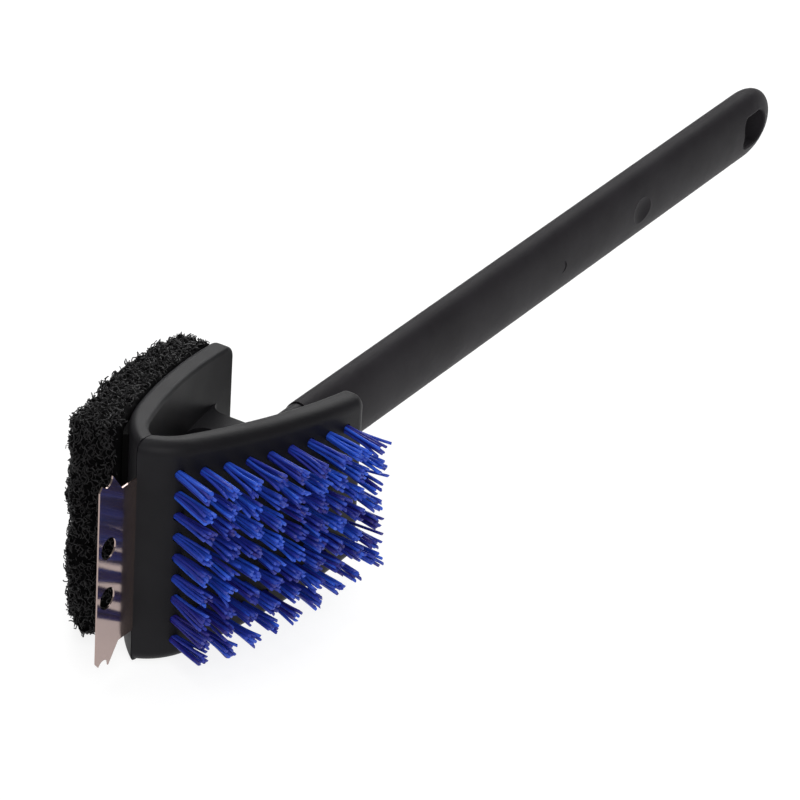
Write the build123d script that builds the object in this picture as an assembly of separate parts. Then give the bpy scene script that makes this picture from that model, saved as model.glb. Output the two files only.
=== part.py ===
from build123d import *

import os
from math import asin, atan2, cos, degrees, hypot, radians, sin

# Grill cleaning brush: a long flat handle, a V-shaped head moulded in two halves, nylon tufts
# on one wing, a scouring pad on the other and a sheet scraper clamped in the nose between them.
# Millimetres. X runs along the handle, Z is the height of the wings, and the tufts face -Y.
# The parts are drawn with X measured from the nose, then moved so that the hang hole is at zero.

# Head: each wing follows two tangent arcs, a tight one round the nose and a slow one behind it.
WING_LENGTH = 90.5
WING_THICKNESS = 8.0
NOSE_HALF_HEIGHT = 43.2
END_HALF_HEIGHT = 31.6
END_CORNER_RADIUS = 5.0
NOSE_RADIUS = 24.5
NOSE_HEADING = 70.0
JOIN_HEADING = 22.5
END_HEADING = 3.0
BRUSH_RIM_FILLET = 4.5
PAD_RIM_FILLET = 2.8
INNER_RIM_FILLET = 1.4

RELIEF_END_X = 25.0
RELIEF_MIN_RIM_Z = 30.0
PROFILE_START_X = -30.0
PROFILE_HALF_WIDTH = 60.0
SEAM_GROOVE_WIDTH = 0.13
SEAM_GROOVE_DEPTH = 0.8
SEAM_LENGTH = 20.0

# Cross beam and oval handle socket inside the V
BEAM_START_X = 63.6
BEAM_END_X = 74.6
BEAM_HALF_HEIGHT = 13.7
BEAM_ROOT_RADIUS = 6.0
BEAM_WALL_LENGTH = 27.0
BEAM_WALL_START_Y = 5.0
BEAM_WALL_END_Y = 45.0
SOCKET_END_X = 96.0
SOCKET_THICKNESS = 13.8
SOCKET_HEIGHT = 28.0

# Handle: an oval bar that closes in half an ellipsoid
HANDLE_END_X = 432.8
HANDLE_DOME_LENGTH = 21.4
HANDLE_HEIGHT = 29.0
HANDLE_THICKNESS = 14.9
SHOULDER_GAP = 0.5
HANG_HOLE_X = 413.2
HANG_HOLE_LENGTH = 18.2
HANG_HOLE_HEIGHT = 13.6
HANG_HOLE_INNER_RADIUS = 4.0
HANG_HOLE_OUTER_RADIUS = 6.7
HANG_HOLE_RIM_FILLET = 0.6
CAVITY_START_X = 122.0
CAVITY_END_X = 392.0
CAVITY_WALL = 3.3
DISH_X = 322.5
DISH_RADIUS = 6.4
DISH_DEPTH = 1.5
GATE_MARK_X = 263.5
GATE_MARK_RADIUS = 2.4
GATE_MARK_DEPTH = 0.3
GATE_MARK_OFFSET = 1.1

# Tenon on the handle, trapped in the socket by two screws
TENON_START_X = 66.2
TENON_THICKNESS = 8.0
TENON_HEIGHT = 17.2
TENON_CLEARANCE = 0.15
SCREW_X = 69.2
SCREW_HALF_SPACING = 5.2
SCREW_RADIUS = 1.75
SCREW_CLEARANCE_RADIUS = 1.95
SCREW_SEAT_Y = 6.6
SCREW_TIP_Y = -16.0
SCREW_HEAD_RADIUS = 3.2
SCREW_HEAD_HEIGHT = 2.4
SCREW_RECESS_RADIUS = 3.5
SCREW_SLOT = (4.0, 1.6, 0.8)
SCREW_TIP_GAP = 0.5

# Scraper sheet, clamped in the nose seam
SCRAPER_THICKNESS = 0.6
SCRAPER_TANG_X = 6.5
SCRAPER_TANG_HALF_HEIGHT = 29.4
SCRAPER_FLANGE = 7.9
SCRAPER_REACH = 20.3
SCRAPER_EAR = (13.3, 36.4)
SCRAPER_NOTCH = (16.3, 33.3)
SCRAPER_HORN = (18.8, 34.8)
SCRAPER_EDGE_TOP = 33.0
SCRAPER_CORNER_RADIUS = 1.6
SCRAPER_HOLE_RADIUS = 4.0
SCRAPER_HOLE_X = 14.8
SCRAPER_HOLE_HALF_SPACING = 9.6
PEG_X = 4.0
PEG_HALF_SPACING = 20.0
PEG_RADIUS = 1.4
PEG_LENGTH = 2.4
PEG_CLEARANCE = 0.1
PEG_TIP_GAP = 0.3

# Tufts: the columns are evenly spaced along the wing, the tufts evenly spaced up each column
TUFTS_PER_COLUMN = (9, 9, 8, 8, 8, 8, 7, 7, 7)
COLUMN_START = 14.6
COLUMN_PITCH = 9.2
TUFT_LENGTH = 17.0
TUFT_ROOT_RADIUS = 1.8
TUFT_TIP_RADIUS = 2.7
TUFT_SOCKET_DEPTH = 4.6
TUFT_COLLAR = 0.8
TUFT_LEAN_FIRST = 18.9
TUFT_LEAN_LAST = 13.3
TUFT_TOP_FIRST = 30.7
TUFT_TOP_LAST = 22.8
TUFT_BOTTOM_FIRST = -33.2
TUFT_BOTTOM_LAST = -21.6
STAPLE_WIDTH = 3.2
STAPLE_THICKNESS = 0.4
STAPLE_DEPTH = 1.8
STAPLE_FLOOR = 0.2

# Scouring pad and the glue film under it
GLUE_THICKNESS = 0.3
GLUE_FILL_DEPTH = 4.0
PAD_THICKNESS = 15.0
PAD_START_HEADING = 38.0
PAD_END_X = 89.0
PAD_RIM_INSET = 1.2

# The wing's two arcs meet at the join; both centres and the larger radius follow from tangency.
NOSE_CENTRE = (NOSE_RADIUS * sin(radians(NOSE_HEADING)), -NOSE_RADIUS * cos(radians(NOSE_HEADING)))
JOIN_X = NOSE_CENTRE[0] - NOSE_RADIUS * sin(radians(JOIN_HEADING))
JOIN_Y = NOSE_CENTRE[1] + NOSE_RADIUS * cos(radians(JOIN_HEADING))
SIDE_RADIUS = (WING_LENGTH - JOIN_X) / (sin(radians(JOIN_HEADING)) - sin(radians(END_HEADING)))
SIDE_CENTRE = (
    JOIN_X + SIDE_RADIUS * sin(radians(JOIN_HEADING)),
    JOIN_Y - SIDE_RADIUS * cos(radians(JOIN_HEADING)),
)
TAPER = (NOSE_HALF_HEIGHT - END_HALF_HEIGHT) / WING_LENGTH

# The pad half is slimmer at the nose: an arc from the seam that runs tangent into its side arc
RELIEF_HEADING = degrees(asin((SIDE_CENTRE[0] - RELIEF_END_X) / SIDE_RADIUS))
RELIEF_END_Y = SIDE_CENTRE[1] + SIDE_RADIUS * cos(radians(RELIEF_HEADING))
RELIEF_TURN = radians(degrees(atan2(RELIEF_END_Y, RELIEF_END_X)) - RELIEF_HEADING)
RELIEF_RADIUS = hypot(RELIEF_END_X, RELIEF_END_Y) / (2 * sin(RELIEF_TURN))
RELIEF_CENTRE = (
    RELIEF_END_X + RELIEF_RADIUS * sin(radians(RELIEF_HEADING)),
    RELIEF_END_Y - RELIEF_RADIUS * cos(radians(RELIEF_HEADING)),
)


def face_point(heading, depth=0.0):
    """Point in plan, depth outside the wing's outer face, where the face runs at this heading."""
    centre, radius = (NOSE_CENTRE, NOSE_RADIUS) if heading > JOIN_HEADING else (SIDE_CENTRE, SIDE_RADIUS)
    reach = radius + depth
    return (centre[0] - reach * sin(radians(heading)), centre[1] + reach * cos(radians(heading)))


def face_depth(x, y):
    """Distance in plan outside the wing's outer face, negative inside the wing."""
    if x < JOIN_X:
        return hypot(x - NOSE_CENTRE[0], abs(y) - NOSE_CENTRE[1]) - NOSE_RADIUS
    return hypot(x - SIDE_CENTRE[0], abs(y) - SIDE_CENTRE[1]) - SIDE_RADIUS


def face_at(arc_length):
    """Heading of the outer face at an arc length from the nose."""
    nose_arc = NOSE_RADIUS * radians(NOSE_HEADING - JOIN_HEADING)
    if arc_length < nose_arc:
        return NOSE_HEADING - arc_length / radians(NOSE_RADIUS)
    return JOIN_HEADING - (arc_length - nose_arc) / radians(SIDE_RADIUS)


def arc_pair(start, end, depth):
    """The two tangent arcs of the wing between two headings, depth outside its outer face."""
    points = [face_point(h, depth) for h in (start, (start + JOIN_HEADING) / 2, JOIN_HEADING + 1e-6)]
    tail = [face_point(h, depth) for h in ((JOIN_HEADING + end) / 2, end)]
    return [ThreePointArc(*points), ThreePointArc(points[2], *tail)]


def band(start, end, inner, outer):
    """Flat plan shape between two offsets of the wing's outer face, on the +Y side."""
    edges = arc_pair(start, end, inner) + arc_pair(start, end, outer)
    edges.append(Line(face_point(start, inner), face_point(start, outer)))
    edges.append(Line(face_point(end, inner), face_point(end, outer)))
    return make_face(Curve() + edges)


def side_profile(inset=0.0, end_x=WING_LENGTH, corner=END_CORNER_RADIUS):
    """Tapered side view of the head, as a slab wide enough to trim either wing or the pad."""
    corners = [(x, half_height(x) - inset) for x in (PROFILE_START_X, end_x)]
    outline = Polyline(*corners, *[(x, -z) for x, z in reversed(corners)], close=True)
    flat = Plane.XZ * make_face(outline)
    slab = extrude(flat, PROFILE_HALF_WIDTH, both=True)
    ends = slab.edges().filter_by(Axis.Y).group_by(Axis.X)[-1]
    return fillet(ends, corner)


def half_height(x):
    """Half the height of the head at a distance from the nose."""
    return NOSE_HALF_HEIGHT - TAPER * x


def rim_edges(shape, depth):
    """Edges round one face of the wing, without the seam and the line where its arcs meet."""
    chosen = []
    for edge in shape.edges():
        spots = [edge @ t for t in (0.0, 0.5, 1.0)]
        on_face = all(abs(face_depth(p.X, p.Y) - depth) < 0.02 for p in spots)
        on_seam = all(abs(p.Y) < 0.02 for p in spots)
        on_join = all(abs(face_heading_gap(p, depth)) < 0.05 for p in spots)
        if on_face and not on_seam and not on_join:
            chosen.append(edge)
    return chosen


def face_heading_gap(point, depth):
    """Distance in plan from a point to the line where the wing's two arcs meet."""
    join = face_point(JOIN_HEADING, depth)
    return hypot(point.X - join[0], point.Y - join[1])


def relief_rim(shape):
    """Edges along the top and bottom of the slimmer nose of the pad half."""
    chosen = []
    for edge in shape.edges():
        spots = [edge @ t for t in (0.0, 0.5, 1.0)]
        gaps = [hypot(p.X - RELIEF_CENTRE[0], p.Y - RELIEF_CENTRE[1]) - RELIEF_RADIUS for p in spots]
        on_rim = all(abs(p.Z) > RELIEF_MIN_RIM_Z for p in spots)
        if on_rim and all(abs(gap) < 0.02 for gap in gaps):
            chosen.append(edge)
    return chosen


def nose_relief():
    """What the slimmer nose of the pad half leaves out of the plain wing."""
    corner = Pos((RELIEF_END_X - 10) / 2, RELIEF_END_Y) * Rectangle(RELIEF_END_X + 10, 4 * RELIEF_END_Y)
    return extrude(corner - Pos(*RELIEF_CENTRE) * Circle(RELIEF_RADIUS), NOSE_HALF_HEIGHT + 5, both=True)


def wing(slim_nose=False):
    """One bare wing, on the +Y side, cut off at the seam plane."""
    plan = band(NOSE_HEADING, END_HEADING, -WING_THICKNESS, 0)
    body = extrude(plan, NOSE_HALF_HEIGHT + 5, both=True)
    half_space = Pos(50, 50, 0) * Box(200, 100, 200)
    body = body & half_space & side_profile()
    if slim_nose:
        body -= nose_relief()
        body = fillet(rim_edges(body, 0) + relief_rim(body), PAD_RIM_FILLET)
    else:
        body = fillet(rim_edges(body, 0), BRUSH_RIM_FILLET)
    return fillet(rim_edges(body, -WING_THICKNESS), INNER_RIM_FILLET) - seam_groove()


def seam_groove():
    """Thin slot left round the nose where the outer edges of the two halves meet."""
    sheet = Box(SEAM_LENGTH, 2 * SEAM_GROOVE_WIDTH, 3 * NOSE_HALF_HEIGHT)
    behind = Pos(SEAM_GROOVE_DEPTH + SEAM_LENGTH, 0, 0) * Box(2 * SEAM_LENGTH, 10, 100)
    return sheet - (side_profile(SEAM_GROOVE_DEPTH) & behind)


def cross_beam():
    """Half of the beam between the wings, with rounded roots where it meets the wing."""
    middle = (BEAM_START_X + BEAM_END_X) / 2
    wall = band(JOIN_HEADING - 1, END_HEADING + 1, -WING_THICKNESS, -1)
    wall_middle = (BEAM_WALL_START_Y + BEAM_WALL_END_Y) / 2
    wall_depth = BEAM_WALL_END_Y - BEAM_WALL_START_Y
    near_beam = Pos(middle, wall_middle) * Rectangle(BEAM_WALL_LENGTH, wall_depth)
    bar = Pos(middle, wall_middle / 2) * Rectangle(BEAM_END_X - BEAM_START_X, wall_middle)
    plan = (wall & near_beam) + bar
    roots = [v for v in plan.vertices() if abs(face_depth(v.X, v.Y) + WING_THICKNESS) < 0.01]
    roots = [v for v in roots if min(abs(v.X - BEAM_START_X), abs(v.X - BEAM_END_X)) < 0.01]
    plan = fillet(roots, BEAM_ROOT_RADIUS)
    return extrude(plan, BEAM_HALF_HEIGHT, both=True)


def handle_socket():
    """Half of the socket that holds the handle's tenon."""
    section = Ellipse(SOCKET_THICKNESS / 2, SOCKET_HEIGHT / 2)
    start = (BEAM_START_X + BEAM_END_X) / 2
    block = extrude(Plane.YZ.offset(start) * section, SOCKET_END_X - start)
    return block & Pos(start, 20, 0) * Box(100, 40, 60)


def head_half(slim_nose=False):
    """One moulded half of the head, on the +Y side, before its own holes and pegs."""
    pocket_end = SOCKET_END_X + 1
    pocket = Box(
        pocket_end - TENON_START_X + TENON_CLEARANCE,
        TENON_THICKNESS + 2 * TENON_CLEARANCE,
        TENON_HEIGHT + 2 * TENON_CLEARANCE,
        align=(Align.MAX, Align.CENTER, Align.CENTER),
    )
    tang = Box(SCRAPER_TANG_X + 5, SCRAPER_THICKNESS, 2 * SCRAPER_TANG_HALF_HEIGHT)
    body = wing(slim_nose) + cross_beam() + handle_socket()
    body -= Pos(pocket_end, 0, 0) * pocket
    return body - Pos((SCRAPER_TANG_X - 5) / 2, 0, 0) * tang


def along_y(radius, start, end, x, z):
    """Cylinder along Y between two Y values."""
    rod = Cylinder(radius, abs(end - start), rotation=(90, 0, 0))
    return Pos(x, (start + end) / 2, z) * rod


def pad_half():
    """The half that carries the pad: it takes the screw heads and has the scraper's pegs."""
    body = head_half(slim_nose=True)
    for sign in (-1, 1):
        z = sign * SCREW_HALF_SPACING
        body -= along_y(SCREW_RECESS_RADIUS, SCREW_SEAT_Y, 40, SCREW_X, z)
        body -= along_y(SCREW_CLEARANCE_RADIUS, -1, SCREW_SEAT_Y + 1, SCREW_X, z)
        peg_root = SCRAPER_THICKNESS / 2 + 1
        body += along_y(PEG_RADIUS, peg_root, -PEG_LENGTH, PEG_X, sign * PEG_HALF_SPACING)
    return body


def tuft_column(index):
    """Where a column of tufts stands: its place in plan, its lean and the heights of its tufts."""
    heading = face_at(COLUMN_START + index * COLUMN_PITCH)
    x, y = face_point(heading)
    share = index / (len(TUFTS_PER_COLUMN) - 1)
    lean = TUFT_LEAN_FIRST + share * (TUFT_LEAN_LAST - TUFT_LEAN_FIRST)
    top = TUFT_TOP_FIRST + share * (TUFT_TOP_LAST - TUFT_TOP_FIRST)
    bottom = TUFT_BOTTOM_FIRST + share * (TUFT_BOTTOM_LAST - TUFT_BOTTOM_FIRST)
    steps = TUFTS_PER_COLUMN[index] - 1
    heights = [top + (bottom - top) * row / steps for row in range(steps + 1)]
    direction = Vector(-sin(radians(lean)), -cos(radians(lean)), 0)
    return [Plane(Vector(x, -y, z), x_dir=Vector(0, 0, 1), z_dir=direction) for z in heights]


def upright(shape_class, *sizes, base=0.0):
    """A solid of revolution or box that starts at a height above the plane it is placed on."""
    return Pos(0, 0, base) * shape_class(*sizes, align=(Align.CENTER, Align.CENTER, Align.MIN))


def brush_half():
    """The half that carries the tufts: it takes the screw ends and the scraper's pegs."""
    body = head_half().mirror(Plane.XZ)
    for sign in (-1, 1):
        body -= along_y(SCREW_RADIUS, 1, SCREW_TIP_Y, SCREW_X, sign * SCREW_HALF_SPACING)
        hole_end = -PEG_LENGTH - PEG_TIP_GAP
        body -= along_y(PEG_RADIUS + PEG_CLEARANCE, 1, hole_end, PEG_X, sign * PEG_HALF_SPACING)
    sockets = []
    for index in range(len(TUFTS_PER_COLUMN)):
        for seat in tuft_column(index):
            drill = upright(Cylinder, TUFT_ROOT_RADIUS, TUFT_SOCKET_DEPTH + 5, base=-TUFT_SOCKET_DEPTH)
            sockets.append(seat * drill)
    return body - sockets


def staple():
    """Flat anchor wire that holds a folded tuft down in its socket."""
    return upright(Box, STAPLE_WIDTH, STAPLE_THICKNESS, STAPLE_DEPTH, base=STAPLE_FLOOR - TUFT_SOCKET_DEPTH)


def tuft():
    """A bundle of filaments as one tapered solid with a slot for its staple."""
    root = upright(Cylinder, TUFT_ROOT_RADIUS, TUFT_SOCKET_DEPTH + TUFT_COLLAR, base=-TUFT_SOCKET_DEPTH)
    flare = upright(Cone, TUFT_ROOT_RADIUS, TUFT_TIP_RADIUS, TUFT_LENGTH - TUFT_COLLAR, base=TUFT_COLLAR)
    return root + flare - staple()


def screws():
    """The two self-tapping screws that clamp the halves together through the tenon."""
    both = []
    for sign in (-1, 1):
        z = sign * SCREW_HALF_SPACING
        head_top = SCREW_SEAT_Y + SCREW_HEAD_HEIGHT
        screw = along_y(SCREW_HEAD_RADIUS, SCREW_SEAT_Y, head_top, SCREW_X, z)
        screw += along_y(SCREW_RADIUS, SCREW_TIP_Y + SCREW_TIP_GAP, SCREW_SEAT_Y + 1, SCREW_X, z)
        for turn in (0, 90):
            screw -= Pos(SCREW_X, head_top, z) * Rot(0, turn, 0) * Box(*SCREW_SLOT)
        both.append(screw)
    return Compound(children=both)


def mirrored_in_z(points):
    """The same outline points below the X axis, in reverse order."""
    return [(x, -z) for x, z in reversed(points)]


def scraper():
    """Stamped steel sheet: a tang in the nose, two scalloped ears and two round holes."""
    ear = (-SCRAPER_EAR[0], SCRAPER_EAR[1])
    notch = (-SCRAPER_NOTCH[0], SCRAPER_NOTCH[1])
    horn = (-SCRAPER_HORN[0], SCRAPER_HORN[1])
    edge = (-SCRAPER_REACH, SCRAPER_EDGE_TOP)
    root = [(SCRAPER_TANG_X, SCRAPER_TANG_HALF_HEIGHT), (-SCRAPER_FLANGE, SCRAPER_TANG_HALF_HEIGHT), ear]
    outline = Polyline(*mirrored_in_z(root), *root)
    outline += ThreePointArc(ear, notch, horn)
    outline += Polyline(horn, edge, *mirrored_in_z([horn, edge]))
    outline += ThreePointArc(*mirrored_in_z([ear, notch, horn]))
    flat = make_face(outline)
    corners = [v for v in flat.vertices() if abs(abs(v.Y) - SCRAPER_EDGE_TOP) < 0.01]
    flat = fillet(corners, SCRAPER_CORNER_RADIUS)
    for sign in (-1, 1):
        flat -= Pos(-SCRAPER_HOLE_X, sign * SCRAPER_HOLE_HALF_SPACING) * Circle(SCRAPER_HOLE_RADIUS)
        flat -= Pos(PEG_X, sign * PEG_HALF_SPACING) * Circle(PEG_RADIUS + PEG_CLEARANCE)
    return extrude(Plane.XZ * flat, SCRAPER_THICKNESS / 2, both=True)


def scouring_pad():
    """Thick fibre pad wrapped round the outside of the pad wing."""
    plan = band(PAD_START_HEADING, pad_end_heading(), GLUE_THICKNESS, GLUE_THICKNESS + PAD_THICKNESS)
    block = extrude(plan, NOSE_HALF_HEIGHT, both=True)
    return block & side_profile(PAD_RIM_INSET, end_x=PAD_END_X + 20, corner=1)


def pad_glue(bare_wing):
    """Hot glue between the pad and the wing: a thin film that fills the gap at the slim nose."""
    plan = band(PAD_START_HEADING - 2, pad_end_heading() + 0.5, -GLUE_FILL_DEPTH, GLUE_THICKNESS)
    block = extrude(plan, NOSE_HALF_HEIGHT, both=True)
    return block & side_profile(PAD_RIM_INSET + 3, end_x=PAD_END_X + 20, corner=1) - bare_wing


def pad_end_heading():
    """Heading of the wing's outer face where the pad ends."""
    lowest, highest = END_HEADING, JOIN_HEADING
    for _ in range(40):
        middle = (lowest + highest) / 2
        if face_point(middle)[0] > PAD_END_X:
            lowest = middle
        else:
            highest = middle
    return highest


def handle():
    """Handle moulding: oval bar with a hang hole, an inner cavity and a tenon."""
    bar = oval_bar() - hang_hole()
    bar = fillet([e for e in bar.edges() if is_hang_hole_rim(e)], HANG_HOLE_RIM_FILLET)
    bar -= cavity()
    bar -= marks()
    start = SOCKET_END_X + SHOULDER_GAP
    tenon = Box(start - TENON_START_X, TENON_THICKNESS, TENON_HEIGHT)
    bar += Pos((start + TENON_START_X) / 2, 0, 0) * tenon
    for sign in (-1, 1):
        bar -= along_y(SCREW_CLEARANCE_RADIUS, -10, 10, SCREW_X, sign * SCREW_HALF_SPACING)
    return bar


def oval_bar():
    """The handle's outside: a round bar with a domed end, flattened to an oval section."""
    start, radius = SOCKET_END_X + SHOULDER_GAP, HANDLE_HEIGHT / 2
    dome_x = HANDLE_END_X - HANDLE_DOME_LENGTH
    side = Polyline((HANDLE_END_X, 0), (start, 0), (start, radius), (dome_x, radius))
    dome = EllipticalCenterArc((dome_x, 0), HANDLE_DOME_LENGTH, radius, arc_size=90)
    round_bar = revolve(Plane.XZ * make_face(side + dome), Axis.X)
    return scale(round_bar, by=(1, HANDLE_THICKNESS / HANDLE_HEIGHT, 1))


def is_hang_hole_rim(edge):
    """True for the edges where the hang hole leaves the faces of the handle."""
    spots = [edge @ t for t in (0.0, 0.5, 1.0)]
    in_hole = all(abs(p.X - HANG_HOLE_X) < HANG_HOLE_LENGTH / 2 + 0.01 for p in spots)
    in_height = all(abs(p.Z) < HANG_HOLE_HEIGHT / 2 + 0.01 for p in spots)
    one_side = all(p.Y * spots[0].Y > 0 for p in spots)
    return in_hole and in_height and one_side


def hang_hole():
    """Slotted hole near the free end, rounder on the end side."""
    outline = Rectangle(HANG_HOLE_LENGTH, HANG_HOLE_HEIGHT)
    outline = fillet(outline.vertices().group_by(Axis.X)[-1], HANG_HOLE_OUTER_RADIUS)
    outline = fillet(outline.vertices().group_by(Axis.X)[0], HANG_HOLE_INNER_RADIUS)
    return extrude(Plane.XZ * (Pos(HANG_HOLE_X, 0) * outline), HANDLE_THICKNESS, both=True)


def cavity():
    """Closed channel inside the handle that keeps its walls thin."""
    section = Ellipse(HANDLE_THICKNESS / 2 - CAVITY_WALL, HANDLE_HEIGHT / 2 - CAVITY_WALL)
    return extrude(Plane.YZ.offset(CAVITY_START_X) * section, CAVITY_END_X - CAVITY_START_X)


def marks():
    """Round dish and small crescent mark on the -Y face of the handle."""
    face_y = -HANDLE_THICKNESS / 2
    ball = (DISH_RADIUS**2 + DISH_DEPTH**2) / (2 * DISH_DEPTH)
    dish = Pos(DISH_X, face_y - ball + DISH_DEPTH, 0) * Sphere(ball)
    disc = along_y(GATE_MARK_RADIUS, face_y + GATE_MARK_DEPTH, 2 * face_y, GATE_MARK_X, 0)
    bite = along_y(GATE_MARK_RADIUS, 0, 2 * face_y, GATE_MARK_X - GATE_MARK_OFFSET, 0)
    return dish + (disc - bite)


def save(shape, name):
    """Write one part with the hang hole's axis at the origin."""
    export_step(Pos(-HANG_HOLE_X, 0, 0) * shape, f"parts/{name}.step")


os.makedirs("parts", exist_ok=True)
save(handle(), "handle")
save(pad_half(), "head_pad_half")
save(brush_half(), "head_brush_half")
save(screws(), "head_screws")
save(scraper(), "scraper_blade")
save(scouring_pad(), "scouring_pad")
save(pad_glue(wing(slim_nose=True)), "pad_glue_film")
for number in range(len(TUFTS_PER_COLUMN)):
    seats = tuft_column(number)
    save(Compound(children=[seat * tuft() for seat in seats]), f"tuft_column_{number + 1}")
    save(Compound(children=[seat * staple() for seat in seats]), f"tuft_staples_{number + 1}")
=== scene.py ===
"""Looks of the grill brush: filament tufts, the fibrous scouring pad, and finishes for the CAD nodes."""

import math

import bmesh
import bpy
import numpy as np
from mathutils import Matrix, Vector, noise


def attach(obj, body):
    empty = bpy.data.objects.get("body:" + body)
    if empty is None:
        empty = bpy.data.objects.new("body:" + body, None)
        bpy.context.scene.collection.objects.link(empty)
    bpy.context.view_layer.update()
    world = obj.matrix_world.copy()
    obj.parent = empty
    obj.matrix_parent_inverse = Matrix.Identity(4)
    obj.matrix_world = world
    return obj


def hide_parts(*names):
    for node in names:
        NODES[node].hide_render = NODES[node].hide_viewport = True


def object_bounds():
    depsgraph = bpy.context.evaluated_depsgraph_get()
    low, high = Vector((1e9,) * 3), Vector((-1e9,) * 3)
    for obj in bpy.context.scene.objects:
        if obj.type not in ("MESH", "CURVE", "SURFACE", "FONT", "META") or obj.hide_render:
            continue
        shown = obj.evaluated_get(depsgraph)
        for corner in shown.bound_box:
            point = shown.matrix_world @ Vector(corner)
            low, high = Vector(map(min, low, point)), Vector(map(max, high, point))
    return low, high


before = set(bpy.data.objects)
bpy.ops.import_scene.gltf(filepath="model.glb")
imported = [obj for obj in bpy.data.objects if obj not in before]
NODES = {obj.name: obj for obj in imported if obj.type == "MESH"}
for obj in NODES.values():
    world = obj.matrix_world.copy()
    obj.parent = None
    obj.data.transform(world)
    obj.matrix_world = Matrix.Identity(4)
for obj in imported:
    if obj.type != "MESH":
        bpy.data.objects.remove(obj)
CAD_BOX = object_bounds()
MM = 0.001
SEED = 20

# ---------------------------------------------------------------- camera

CAMERA_AZIMUTH, CAMERA_ELEVATION, CAMERA_ROLL = -59.34, 29.63, 3.85
CAMERA_DISTANCE = 1.5997
CAMERA_TARGET = Vector((-0.2332, 0.0, -0.0217))
SENSOR = 36.0
LENS = 198.5
SHIFT = (-0.0290, -0.0017)
CLIP_START, CLIP_END = 0.05, 100.0


def make_camera():
    a, e, r = (math.radians(v) for v in (CAMERA_AZIMUTH, CAMERA_ELEVATION, CAMERA_ROLL))
    back = Vector((math.sin(a) * math.cos(e), -math.cos(a) * math.cos(e), math.sin(e)))
    level = Vector((math.cos(a), math.sin(a), 0.0))
    rise = back.cross(level)
    right = math.cos(r) * level + math.sin(r) * rise
    up = -math.sin(r) * level + math.cos(r) * rise
    data = bpy.data.cameras.new("camera")
    data.sensor_width = SENSOR
    data.lens = LENS
    data.shift_x, data.shift_y = SHIFT
    data.clip_start, data.clip_end = CLIP_START, CLIP_END
    camera = bpy.data.objects.new("camera", data)
    turn = Matrix((right, up, back)).transposed().to_4x4()
    camera.matrix_world = Matrix.Translation(CAMERA_TARGET + back * CAMERA_DISTANCE) @ turn
    bpy.context.scene.collection.objects.link(camera)
    bpy.context.scene.camera = camera


# ---------------------------------------------------------------- stage

FLOOR_HALF_SIZE = 12.0
FLOOR_GAP = 0.0002
FLOOR_GREY = 0.25
FLOOR_ROUGHNESS = 0.9
FLOOR_GLOW = 0.84
SKY_STRENGTH = 0.22
WHITE = (1.0, 1.0, 1.0, 1.0)
LIT_CENTRE = Vector((-0.30, 0.0, 0.0))
# name: place from the lit centre, width and height, watts
SOFTBOXES = {
    "softbox_right": ((1.25, 0.40, 0.85), (1.7, 0.7), 15.0),
    "softbox_front": ((-1.05, -0.95, 1.05), (1.2, 1.2), 15.5),
    "softbox_top": ((0.0, 0.25, 1.6), (1.2, 1.2), 9.0),
}


def aim(obj, place, at):
    obj.location = place
    obj.rotation_mode = "QUATERNION"
    obj.rotation_quaternion = (Vector(at) - Vector(place)).to_track_quat("-Z", "Y")


def area_light(name, place, at, size, watts):
    data = bpy.data.lights.new(name, "AREA")
    data.shape = "RECTANGLE"
    data.size, data.size_y = size
    data.energy = watts
    lamp = bpy.data.objects.new(name, data)
    aim(lamp, place, at)
    bpy.context.scene.collection.objects.link(lamp)


def make_stage():
    mesh = bpy.data.meshes.new("floor")
    bm = bmesh.new()
    bmesh.ops.create_grid(bm, x_segments=8, y_segments=8, size=FLOOR_HALF_SIZE)
    bm.to_mesh(mesh)
    bm.free()
    floor = bpy.data.objects.new("floor", mesh)
    floor.location = (CAMERA_TARGET.x, 0.0, CAD_BOX[0].z - FLOOR_GAP)
    bpy.context.scene.collection.objects.link(floor)
    material, shader, _ = new_material("pale_floor")
    shader.inputs["Base Color"].default_value = (FLOOR_GREY, FLOOR_GREY, FLOOR_GREY, 1.0)
    shader.inputs["Roughness"].default_value = FLOOR_ROUGHNESS
    shader.inputs["Specular IOR Level"].default_value = 0.0
    shader.inputs["Emission Color"].default_value = WHITE
    shader.inputs["Emission Strength"].default_value = FLOOR_GLOW
    mesh.materials.append(material)

    world = bpy.data.worlds.new("studio")
    world.use_nodes = True
    sky = world.node_tree.nodes["Background"]
    sky.inputs["Color"].default_value = WHITE
    sky.inputs["Strength"].default_value = SKY_STRENGTH
    bpy.context.scene.world = world
    bpy.context.scene.view_settings.view_transform = "Standard"

    for name, (offset, size, watts) in SOFTBOXES.items():
        area_light(name, LIT_CENTRE + Vector(offset), LIT_CENTRE, size, watts)


# ---------------------------------------------------------------- materials

# noise scales, in cycles per metre
CLOUD_SCALE = 35.0
PATCH_SCALE = 90.0
WAVE_SCALE = 60.0
GRAIN_SCALE = 2600.0
NYLON_TONE_SCALE = 450.0
SPECK_SCALE = 1800.0
NYLON_LINES = (900.0, 250.0, 900.0)

# how far each bump stands out, in metres
WAVE_DEPTH = 0.0006
GRAIN_DEPTH = 0.00012
SCRATCH_DEPTH = 0.00002
NYLON_LINE_DEPTH = 0.00008
SPECK_DEPTH = 0.00015
FAINT_BUMP, STRONG_BUMP = 0.25, 0.5

# how far the roughness of each material goes below and above its middle value
PLASTIC_UNEVENNESS = (-0.05, 0.06)
STEEL_UNEVENNESS = (-0.03, 0.05)
FIBRE_UNEVENNESS = (0.15, -0.1)

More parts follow.
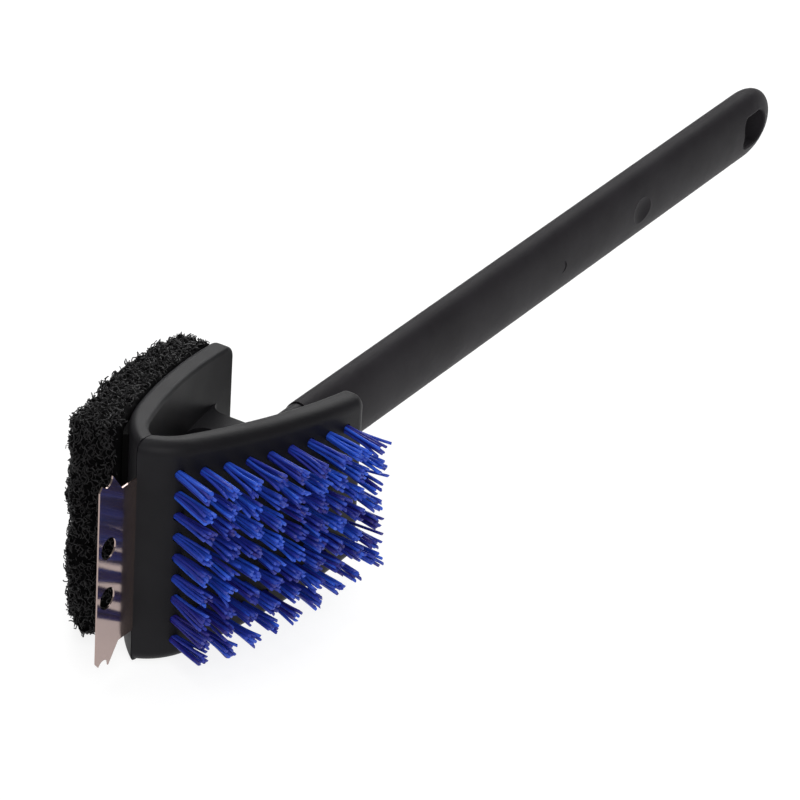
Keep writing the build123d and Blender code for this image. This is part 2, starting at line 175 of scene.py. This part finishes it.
STEEL_METALLIC = 0.94
SCRATCH_DARKENING = 0.86
NYLON_TONE_NOISE = 0.3
NYLON_TONE_TOP = 1.3
NYLON_ROUGHNESS = 0.4
NYLON_SPECULAR = 0.35
# filament tones, random per tuft and per filament: the bright blue is the nylon's colour, and the dark
# purple low end is painted shade, the colour of filaments in shade
NYLON_BLUE_AND_PAINTED_SHADE = [
    (0.15, (0.020, 0.014, 0.17)),
    (0.6, (0.018, 0.038, 0.34)),
    (1.1, (0.024, 0.095, 0.60)),
]


def new_material(name):
    material = bpy.data.materials.new(name)
    material.use_nodes = True
    tree = material.node_tree
    return material, tree.nodes["Principled BSDF"], tree


def texture_space(tree):
    return tree.nodes.new("ShaderNodeTexCoord").outputs["Object"]


def noise_node(tree, space, scale, detail=2.0, roughness=0.5):
    node = tree.nodes.new("ShaderNodeTexNoise")
    node.inputs["Scale"].default_value = scale
    node.inputs["Detail"].default_value = detail
    node.inputs["Roughness"].default_value = roughness
    tree.links.new(space, node.inputs["Vector"])
    return node.outputs["Fac"]


def stretched(tree, space, scale):
    node = tree.nodes.new("ShaderNodeMapping")
    node.inputs["Scale"].default_value = scale
    tree.links.new(space, node.inputs["Vector"])
    return node.outputs["Vector"]


def ramp(tree, value, stops):
    node = tree.nodes.new("ShaderNodeValToRGB")
    marks = node.color_ramp.elements
    while len(marks) < len(stops):
        marks.new(0.5)
    for mark, (place, colour) in zip(marks, stops):
        mark.position = place
        mark.color = (*colour, 1.0)
    tree.links.new(value, node.inputs["Fac"])
    return node.outputs["Color"]


def remap(tree, value, low, high, source=(0.0, 1.0)):
    node = tree.nodes.new("ShaderNodeMapRange")
    node.inputs["From Min"].default_value, node.inputs["From Max"].default_value = source
    node.inputs["To Min"].default_value = low
    node.inputs["To Max"].default_value = high
    tree.links.new(value, node.inputs["Value"])
    return node.outputs["Result"]


def bump(tree, height, strength, distance, before=None):
    node = tree.nodes.new("ShaderNodeBump")
    node.inputs["Strength"].default_value = strength
    node.inputs["Distance"].default_value = distance
    tree.links.new(height, node.inputs["Height"])
    if before is not None:
        tree.links.new(before, node.inputs["Normal"])
    return node.outputs["Normal"]


def plastic(name, dark, light, roughness, specular, grain):
    """Moulded plastic: faint cloudy tone, fine mould grain and a slightly uneven gloss."""
    material, shader, tree = new_material(name)
    space = texture_space(tree)
    cloud = noise_node(tree, space, CLOUD_SCALE, detail=3.0, roughness=0.6)
    tree.links.new(ramp(tree, cloud, [(0.3, dark), (0.7, light)]), shader.inputs["Base Color"])
    patches = noise_node(tree, space, PATCH_SCALE, detail=3.0, roughness=0.55)
    low, high = (roughness + change for change in PLASTIC_UNEVENNESS)
    tree.links.new(remap(tree, patches, low, high), shader.inputs["Roughness"])
    shader.inputs["Specular IOR Level"].default_value = specular
    fine = noise_node(tree, space, GRAIN_SCALE, roughness=0.6)
    waves = noise_node(tree, space, WAVE_SCALE, detail=1.0)
    surface = bump(tree, waves, FAINT_BUMP, WAVE_DEPTH)
    tree.links.new(bump(tree, fine, grain, GRAIN_DEPTH, surface), shader.inputs["Normal"])
    return material


def steel(name, colour, roughness, streak, strength):
    """Rolled sheet steel: fine scratches along one direction and blurred reflections."""
    material, shader, tree = new_material(name)
    space = texture_space(tree)
    lines = noise_node(tree, stretched(tree, space, streak), 1.0, detail=4.0, roughness=0.65)
    dark = tuple(c * SCRATCH_DARKENING for c in colour)
    tree.links.new(ramp(tree, lines, [(0.3, dark), (0.7, colour)]), shader.inputs["Base Color"])
    shader.inputs["Metallic"].default_value = STEEL_METALLIC
    low, high = (roughness + change for change in STEEL_UNEVENNESS)
    tree.links.new(remap(tree, lines, low, high), shader.inputs["Roughness"])
    tree.links.new(bump(tree, lines, strength, SCRATCH_DEPTH), shader.inputs["Normal"])
    return material


def nylon(name):
    """Extruded nylon: each filament has its own tone, from bright blue to a purple navy that is painted
    shade, a soft gloss and faint lengthwise lines.
    """
    material, shader, tree = new_material(name)
    space = texture_space(tree)
    tone = tree.nodes.new("ShaderNodeAttribute")
    tone.attribute_name = "tone"
    mixed = tree.nodes.new("ShaderNodeMath")
    mixed.operation = "MULTIPLY_ADD"
    mixed.inputs[1].default_value = NYLON_TONE_NOISE
    tree.links.new(noise_node(tree, space, NYLON_TONE_SCALE), mixed.inputs[0])
    tree.links.new(tone.outputs["Fac"], mixed.inputs[2])
    share = remap(tree, mixed.outputs["Value"], 0.0, 1.0, (0.0, NYLON_TONE_TOP))
    stops = [(place / NYLON_TONE_TOP, colour) for place, colour in NYLON_BLUE_AND_PAINTED_SHADE]
    tree.links.new(ramp(tree, share, stops), shader.inputs["Base Color"])
    shader.inputs["Roughness"].default_value = NYLON_ROUGHNESS
    shader.inputs["Specular IOR Level"].default_value = NYLON_SPECULAR
    fine = noise_node(tree, stretched(tree, space, NYLON_LINES), 1.0)
    tree.links.new(bump(tree, fine, FAINT_BUMP, NYLON_LINE_DEPTH), shader.inputs["Normal"])
    return material


def fibre_finish(name, dark, light, roughness, specular):
    """Grit-coated synthetic fibre: near black with duller and shinier specks of abrasive."""
    material, shader, tree = new_material(name)
    space = texture_space(tree)
    specks = noise_node(tree, space, SPECK_SCALE, detail=3.0, roughness=0.7)
    tree.links.new(ramp(tree, specks, [(0.35, dark), (0.72, light)]), shader.inputs["Base Color"])
    low, high = (roughness + change for change in FIBRE_UNEVENNESS)
    tree.links.new(remap(tree, specks, low, high), shader.inputs["Roughness"])
    shader.inputs["Specular IOR Level"].default_value = specular
    tree.links.new(bump(tree, specks, STRONG_BUMP, SPECK_DEPTH), shader.inputs["Normal"])
    return material


# ---------------------------------------------------------------- mesh helpers

WELD_DISTANCE = 2e-6
SHELL_SHARE = 0.5


def piece(name, mesh, material, slot, *stands_for):
    obj = bpy.data.objects.new(name, mesh)
    bpy.context.scene.collection.objects.link(obj)
    mesh.materials.clear()
    mesh.materials.append(material)
    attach(obj, "root")
    if stands_for:
        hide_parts(*stands_for)
    return obj


def solids_of(node):
    """The points of each separate solid in a CAD node, one array each, without small inner shells."""
    bm = bmesh.new()
    bm.from_mesh(NODES[node].data)
    bmesh.ops.remove_doubles(bm, verts=bm.verts, dist=WELD_DISTANCE)
    left = set(bm.verts)
    found = []
    while left:
        reached = [left.pop()]
        for v in reached:
            for e in v.link_edges:
                other = e.other_vert(v)
                if other in left:
                    left.discard(other)
                    reached.append(other)
        found.append(np.array([v.co for v in reached], float))
    bm.free()
    longest = max(np.ptp(p, axis=0).max() for p in found)
    outer = [p for p in found if np.ptp(p, axis=0).max() > SHELL_SHARE * longest]
    return sorted(outer, key=lambda p: p[:, 2].mean())


def unit(v):
    return v / np.linalg.norm(v, axis=-1, keepdims=True)


def frames_along(points):
    """The direction and two sideways directions at each point of many paths, (paths, points, 3)."""
    along = unit(np.gradient(points, axis=1))
    guide = np.where(np.abs(along[:, :1, 2:]) < 0.9, [[[0.0, 0.0, 1.0]]], [[[1.0, 0.0, 0.0]]])
    side = np.empty_like(points)
    last = np.broadcast_to(guide, along[:, :1].shape)[:, 0]
    for k in range(points.shape[1]):
        last = unit(last - (last * along[:, k]).sum(1, keepdims=True) * along[:, k])
        side[:, k] = last
    return along, side, np.cross(along, side)


def tubes(name, points, radii, sides, end_slope=None, tone=None):
    """One mesh of closed tubes along many paths, (paths, points, 3), with radii (paths, points)."""
    paths, steps, _ = points.shape
    along, side, other = frames_along(points)
    turn = np.arange(sides) * 2 * math.pi / sides
    cos, sin = np.cos(turn), np.sin(turn)
    ring = side[:, :, None] * cos[:, None] + other[:, :, None] * sin[:, None]
    verts = points[:, :, None] + ring * radii[:, :, None, None]
    if end_slope is not None:
        lift = (end_slope[:, 0:1] * cos + end_slope[:, 1:2] * sin) * radii[:, -1:]
        verts[:, -1] += along[:, -1][:, None] * lift[:, :, None]
    per = steps * sides
    quads = []
    for k in range(steps - 1):
        for j in range(sides):
            n = (j + 1) % sides
            quads.append((k * sides + j, k * sides + n, (k + 1) * sides + n, (k + 1) * sides + j))
    quads = np.array(quads)
    first = np.arange(paths) * per
    walls = (first[:, None, None] + quads[None]).reshape(-1, 4)
    starts = first[:, None] + np.arange(sides)[::-1][None]
    ends = first[:, None] + per - sides + np.arange(sides)[None]
    faces = walls.tolist() + starts.tolist() + ends.tolist()
    mesh = bpy.data.meshes.new(name)
    mesh.from_pydata(verts.reshape(-1, 3).tolist(), [], faces)
    smooth = np.ones(len(faces), bool)
    smooth[len(walls):] = False
    mesh.polygons.foreach_set("use_smooth", smooth)
    if tone is not None:
        layer = mesh.attributes.new("tone", "FLOAT", "POINT")
        layer.data.foreach_set("value", np.repeat(tone, per).astype(np.float32))
    mesh.update()
    return mesh


# ---------------------------------------------------------------- bristles

FILAMENT_RADIUS = 0.53 * MM
FILAMENTS = (9, 12)
ROOT_SPREAD = 1.30 * MM
TIP_SPREAD = 2.55 * MM
FILAMENT_STEPS = 7
FILAMENT_SIDES = 8
TUFT_COLUMNS = 9
GOLDEN_ANGLE = 2.39996

# in its hole a filament is straight, and beyond it strays from its place by this power
HOLE_SHARE = 0.2
FAN_POWER = 1.3
END_SLICE = 0.2 * MM

# standard deviations in mm: of a whole tuft's lean, and of each filament's tip and bend
TUFT_LEAN = 0.35
STRAY = 0.33
LOOSE_STRAY = 1.0
BEND = 0.2

# share of loose filaments, and how lengths, radii, cut ends and tones differ
LOOSE_SHARE = 0.08
LENGTH_SPREAD = 0.022
RADIUS_SPREAD = 0.05
RADIUS_LIMITS = (0.88, 1.12)
CUT_SLOPE = 0.45
TUFT_TONES = (0.3, 0.75)
TONE_SPREAD = 0.22


def filament_paths(solid, rng):
    """Paths of one tuft's filaments, from its CAD solid: tight in the hole and fanned at the tip."""
    middle = solid.mean(0)
    _, _, axes = np.linalg.svd(solid - middle)
    along = axes[0] if axes[0][1] < 0 else -axes[0]
    t = (solid - middle) @ along
    root = solid[t < t.min() + END_SLICE].mean(0)
    tip = solid[t > t.max() - END_SLICE].mean(0)
    length = float((tip - root) @ along)
    flat = unit(np.cross(along, [0.0, 0.0, 1.0]))
    tall = np.cross(flat, along)
    count = int(rng.integers(*FILAMENTS))
    lean = rng.normal(0.0, TUFT_LEAN, 2) * MM
    turn0 = rng.uniform(0, 2 * math.pi)
    rows = []
    for k in range(count):
        share = math.sqrt((k + 0.5) / count)
        angle = turn0 + k * GOLDEN_ANGLE
        cos, sin = share * math.cos(angle), share * math.sin(angle)
        stray = rng.normal(0.0, STRAY, 2) * MM
        if rng.random() < LOOSE_SHARE:
            stray += rng.normal(0.0, LOOSE_STRAY, 2) * MM
        reach = length * (1.0 + rng.normal(0.0, LENGTH_SPREAD))
        bend = rng.normal(0.0, BEND, 2) * MM
        path = []
        for s in np.linspace(0.0, 1.0, FILAMENT_STEPS):
            free = max(0.0, (s - HOLE_SHARE) / (1.0 - HOLE_SHARE))
            wide = ROOT_SPREAD + (TIP_SPREAD - ROOT_SPREAD) * free
            bow = math.sin(math.pi * free)
            a = cos * wide + (stray[0] + lean[0]) * free ** FAN_POWER + bend[0] * bow
            b = sin * wide + (stray[1] + lean[1]) * free ** FAN_POWER + bend[1] * bow
            path.append(root + along * reach * s + flat * a + tall * b)
        rows.append(path)
    return rows


def make_bristles(material):
    rng = np.random.default_rng(SEED)
    for number in range(1, TUFT_COLUMNS + 1):
        node = f"tuft_column_{number}"
        paths, tone = [], []
        for solid in solids_of(node):
            tuft = filament_paths(solid, rng)
            paths += tuft
            tone += list(rng.uniform(*TUFT_TONES) + rng.normal(0.0, TONE_SPREAD, len(tuft)))
        points = np.array(paths)
        radii = np.full(points.shape[:2], FILAMENT_RADIUS)
        share = rng.normal(1.0, RADIUS_SPREAD, (len(points), 1))
        radii *= share.clip(*RADIUS_LIMITS)
        slope = rng.normal(0.0, CUT_SLOPE, (len(points), 2))
        tone = np.clip(tone, 0.0, 1.0)
        mesh = tubes(f"bristles_{number}", points, radii, FILAMENT_SIDES, slope, tone)
        piece(f"bristles_{number}", mesh, material, "blue_nylon", node)


# ---------------------------------------------------------------- scouring pad

# the line of the wing's face: slices of the glue film, and even steps along the line
LINE_BINS = 30
LINE_POINTS = 120

PAD_THICKNESS = 15.0 * MM
PAD_VOXEL = 1.1 * MM
PAD_SMOOTHING_ROUNDS = 7
# how much thicker or thinner the pad is than its solid, from the nose to the free end of the wing
THICKNESS_AT = ([0.0, 0.16, 0.45, 0.75, 1.0], [1.16, 1.03, 1.03, 0.98, 0.89])

# the low corner at the nose is drawn in and up
CORNER_SHARE = 0.10
CORNER_HEIGHT = 9.0 * MM
CORNER_IN = 5.5 * MM
CORNER_UP = 2.5 * MM

# lumps of three sizes: height in mm, and cycles per metre
LARGE_LUMPS = (1.1, 110.0)
MIDDLE_LUMPS = (1.0, 300.0)
SMALL_LUMPS = (0.8, 750.0)
SMALL_LUMP_STRETCH = 0.45
LUMP_SHIFT = Vector((7.0, 0.0, 0.0))
CORE_INSET = 0.55
LUMPS_START = 2.0 * MM

FIBRE_TOTAL = 10500
FIBRE_GROUPS = 3
FIBRE_STEPS = 8
FIBRE_SIDES = 3
FIBRES_FROM = 1.6 * MM

# least and most of each fibre's radius, length, curl and length of one curl, in mm
FIBRE_RADII = (0.17, 0.27)
FIBRE_LENGTHS = (3.0, 5.6)
FIBRE_CURLS = (0.45, 1.1)
FIBRE_WAVELENGTHS = (3.0, 5.5)

# directions: the share of fibres near upright, their spread, and how flat they lie on the surface
UPRIGHT_SHARE = 0.45
UPRIGHT_SPREAD = 0.35
WAY_SPREAD = 0.25
SIDE_SPREAD = 0.05
FLATTENING = 0.9
LIFTS = (-0.1, 0.35)

# the curl across the surface differs from the curl along it in size, pitch and phase
SECOND_CURL = 0.8
SECOND_PITCH = 0.83
SECOND_PHASE = 1.7

# how much a fibre bends back towards the surface, in 1/m
PULL_BACK = 34.0


def wing_line():
    """The wing's face in plan, from the glue film: points, directions along it and out of it."""
    film = np.array([v.co for v in NODES["pad_glue_film"].data.vertices], float)[:, :2]
    film = np.unique(np.round(film, 6), axis=0)
    film = film[np.argsort(film[:, 0])]
    bins = np.linspace(film[0, 0], film[-1, 0], LINE_BINS)
    line = []
    for low, high in zip(bins[:-1], bins[1:]):
        inside = film[(film[:, 0] >= low) & (film[:, 0] <= high)]
        if len(inside):
            line.append(inside.mean(0))
    line = np.array(line)
    steps = np.r_[0.0, np.cumsum(np.linalg.norm(np.diff(line, axis=0), axis=1))]
    even = np.linspace(0.0, steps[-1], LINE_POINTS)
    line = np.stack([np.interp(even, steps, line[:, k]) for k in (0, 1)], 1)
    along = unit(np.gradient(line, axis=0))
    return line, along, np.stack([-along[:, 1], along[:, 0]], 1)


def place_on(line, points):
    """For each point, the number of the line's nearest point and how far out from the line it lies."""
    middle, _, outward = line
    gaps = points[:, None, :2] - middle[None]
    nearest = (gaps ** 2).sum(2).argmin(1)
    out = ((points[:, :2] - middle[nearest]) * outward[nearest]).sum(1)
    return nearest, out


def lump(point):
    """The height in mm of the pad's lumps at a point: the small ones are drawn out along the height."""
    large, middle, small = LARGE_LUMPS, MIDDLE_LUMPS, SMALL_LUMPS
    drawn_out = Vector((point.x, point.y, point.z * SMALL_LUMP_STRETCH))
    return (
        large[0] * noise.noise(point * large[1])
        + middle[0] * noise.noise(point * middle[1] + LUMP_SHIFT)
        + small[0] * noise.noise(drawn_out * small[1])
    )


def pad_core(line):
    """The pad's own solid, remeshed, thicker towards the nose, softer at its edges and lumpy."""
    raw = NODES["scouring_pad"].data.copy()
    shape = bpy.data.objects.new("pad_raw", raw)
    bpy.context.scene.collection.objects.link(shape)
    grid = shape.modifiers.new("grid", "REMESH")
    grid.mode = "VOXEL"
    grid.voxel_size = PAD_VOXEL
    ease = shape.modifiers.new("ease", "SMOOTH")
    ease.iterations = PAD_SMOOTHING_ROUNDS
    ease.factor = 0.5
    bpy.context.view_layer.update()
    mesh = bpy.data.meshes.new_from_object(
        shape.evaluated_get(bpy.context.evaluated_depsgraph_get())
    )
    bpy.data.objects.remove(shape)
    points = np.array([v.co for v in mesh.vertices], float)
    nearest, out = place_on(line, points)
    share = nearest / (len(line[0]) - 1)
    thick = np.interp(share, *THICKNESS_AT)
    out_way = line[2][nearest]
    points[:, :2] += out_way * (out * (thick - 1.0))[:, None]
    height = points[:, 2] - points[:, 2].min()
    corner = np.clip(1 - share / CORNER_SHARE, 0, 1) * np.clip(1 - height / CORNER_HEIGHT, 0, 1)
    corner *= np.clip(out / PAD_THICKNESS, 0, 1)
    points[:, :2] -= out_way * (corner * CORNER_IN)[:, None]
    points[:, 2] += corner * CORNER_UP
    mesh.vertices.foreach_set("co", points.astype(np.float32).ravel())
    mesh.update()
    normals = np.array([v.normal for v in mesh.vertices], float)
    lumps = np.array([lump(Vector(p)) for p in points])
    free = np.clip(out / LUMPS_START, 0, 1)
    points += normals * ((lumps - CORE_INSET) * MM * free)[:, None]
    mesh.vertices.foreach_set("co", points.astype(np.float32).ravel())
    mesh.polygons.foreach_set("use_smooth", np.ones(len(mesh.polygons), bool))
    mesh.update()
    return mesh


def surface_spots(mesh, count, rng):
    """Random spots over a mesh, evenly by area, with the outward direction at each."""
    mesh.calc_loop_triangles()
    corners = np.array([t.vertices for t in mesh.loop_triangles])
    points = np.array([v.co for v in mesh.vertices], float)
    a, b, c = (points[corners[:, k]] for k in range(3))
    cross = np.cross(b - a, c - a)
    area = np.linalg.norm(cross, axis=1)
    chosen = rng.choice(len(area), count, p=area / area.sum())
    u, v = rng.random(count), rng.random(count)
    flip = u + v > 1
    u[flip], v[flip] = 1 - u[flip], 1 - v[flip]
    spots = a[chosen] + (b - a)[chosen] * u[:, None] + (c - a)[chosen] * v[:, None]
    vertex_normals = np.array([w.normal for w in mesh.vertices], float)
    smooth = vertex_normals[corners[chosen]].mean(1)
    return spots, unit(smooth)


def fibre_points(line, spots, normals, rng):
    """Crimped fibres through the spots that run mostly within the pad's layers and curl out of it."""
    count = len(spots)
    nearest, _ = place_on(line, spots)
    flat = np.concatenate([line[1][nearest], np.zeros((count, 1))], 1)
    tall = np.broadcast_to([0.0, 0.0, 1.0], (count, 3))
    turn = rng.uniform(0, 2 * math.pi, (count, 1))
    upright = rng.random((count, 1)) < UPRIGHT_SHARE
    turn = np.where(upright, rng.normal(0.5 * math.pi, UPRIGHT_SPREAD, (count, 1)), turn)
    way = np.cos(turn) * flat + np.sin(turn) * tall
    way += rng.normal(0.0, WAY_SPREAD, (count, 3))
    lift = rng.uniform(*LIFTS, (count, 1))
    inward = (way * normals).sum(1, keepdims=True)
    way = unit(way - normals * inward * FLATTENING + normals * lift)
    side = unit(np.cross(way, normals) + rng.normal(0, SIDE_SPREAD, (count, 3)))
    up = np.cross(side, way)
    length = rng.uniform(*FIBRE_LENGTHS, (count, 1)) * MM
    curl = rng.uniform(*FIBRE_CURLS, (count, 1)) * MM
    turns = length / (rng.uniform(*FIBRE_WAVELENGTHS, (count, 1)) * MM) * 2 * math.pi
    phase = rng.uniform(0, 2 * math.pi, (count, 1))
    t = np.linspace(-0.5, 0.5, FIBRE_STEPS)[None]
    a, b = turns * t + phase, turns * t * SECOND_PITCH + phase * SECOND_PHASE
    points = (
        spots[:, None]
        + way[:, None] * (length * t)[:, :, None]
        + side[:, None] * (curl * np.sin(a))[:, :, None]
        + up[:, None] * (curl * SECOND_CURL * np.cos(b))[:, :, None]
    )
    # a fibre bends back to follow the surface instead of leaving it in a straight line
    points -= normals[:, None] * ((length * t) ** 2 * PULL_BACK)[:, :, None]
    return points


def make_pad(core_material, fibre_material):
    rng = np.random.default_rng(SEED + 1)
    line = wing_line()
    core = pad_core(line)
    # the core's near-black finish is painted shade in the gaps between the fibres
    pad = piece("scouring_pad_core", core, core_material, "pad_fibre", "scouring_pad")
    for number in range(1, FIBRE_GROUPS + 1):
        spots, normals = surface_spots(core, FIBRE_TOTAL // FIBRE_GROUPS, rng)
        _, out = place_on(line, spots)
        keep = out > FIBRES_FROM
        spots, normals = spots[keep], normals[keep]
        points = fibre_points(line, spots, normals, rng)
        radii = rng.uniform(*FIBRE_RADII, (len(points), 1)) * MM * np.ones((1, FIBRE_STEPS))
        mesh = tubes(f"pad_fibres_{number}", points, radii, FIBRE_SIDES)
        piece(f"pad_fibres_{number}", mesh, fibre_material, "pad_fibre")


# ---------------------------------------------------------------- scene

make_camera()
make_stage()

HANDLE = plastic(
    "handle_plastic_moulded",
    dark=(0.0145, 0.0131, 0.0152), light=(0.0215, 0.0197, 0.0226),
    roughness=0.5, specular=0.085, grain=0.3,
)
HEAD = plastic(
    "head_plastic_moulded",
    dark=(0.0060, 0.0057, 0.0070), light=(0.0100, 0.0096, 0.0114),
    roughness=0.45, specular=0.13, grain=0.3,
)
# the blade's warm copper-beige tint is painted reflection: it turns the pale floor the blade reflects
# beige; the scratches are the steel's own
BLADE = steel(
    "blade_steel_rolled", (0.41, 0.315, 0.29),
    roughness=0.07, streak=(500.0, 500.0, 9000.0), strength=0.15,
)
SCREW = steel(
    "screw_steel_plated", (0.62, 0.62, 0.64),
    roughness=0.3, streak=(1500.0, 1500.0, 1500.0), strength=0.3,
)
STAPLE = steel(
    "staple_steel_wire", (0.6, 0.58, 0.55),
    roughness=0.35, streak=(1200.0, 1200.0, 1200.0), strength=0.3,
)
NYLON = nylon("blue_nylon_filament")
# the pad's core is far darker than its fibres: painted shade in the deep gaps between the fibres
CORE = fibre_finish(
    "pad_core_black_painted_shade",
    dark=(0.0004, 0.0004, 0.0005), light=(0.003, 0.0028, 0.0032),
    roughness=0.8, specular=0.04,
)
FIBRE = fibre_finish(
    "pad_fibre_black",
    dark=(0.0006, 0.0005, 0.0008), light=(0.0140, 0.0132, 0.0150),
    roughness=0.4, specular=0.42,
)
GLUE = plastic(
    "glue_film_dark",
    dark=(0.0012, 0.0011, 0.0012), light=(0.0030, 0.0028, 0.0030),
    roughness=0.6, specular=0.02, grain=0.2,
)

FINISHES = {
    "handle": HANDLE,
    "head_brush_half": HEAD,
    "head_pad_half": HEAD,
    "scraper_blade": BLADE,
    "head_screws": SCREW,
    "pad_glue_film": GLUE,
}
for node_name, node in NODES.items():
    finish = FINISHES.get(node_name, STAPLE if node_name.startswith("tuft_staples") else None)
    if finish is not None:
        for material_slot in node.material_slots:
            material_slot.material = finish

make_bristles(NYLON)
make_pad(CORE, FIBRE)
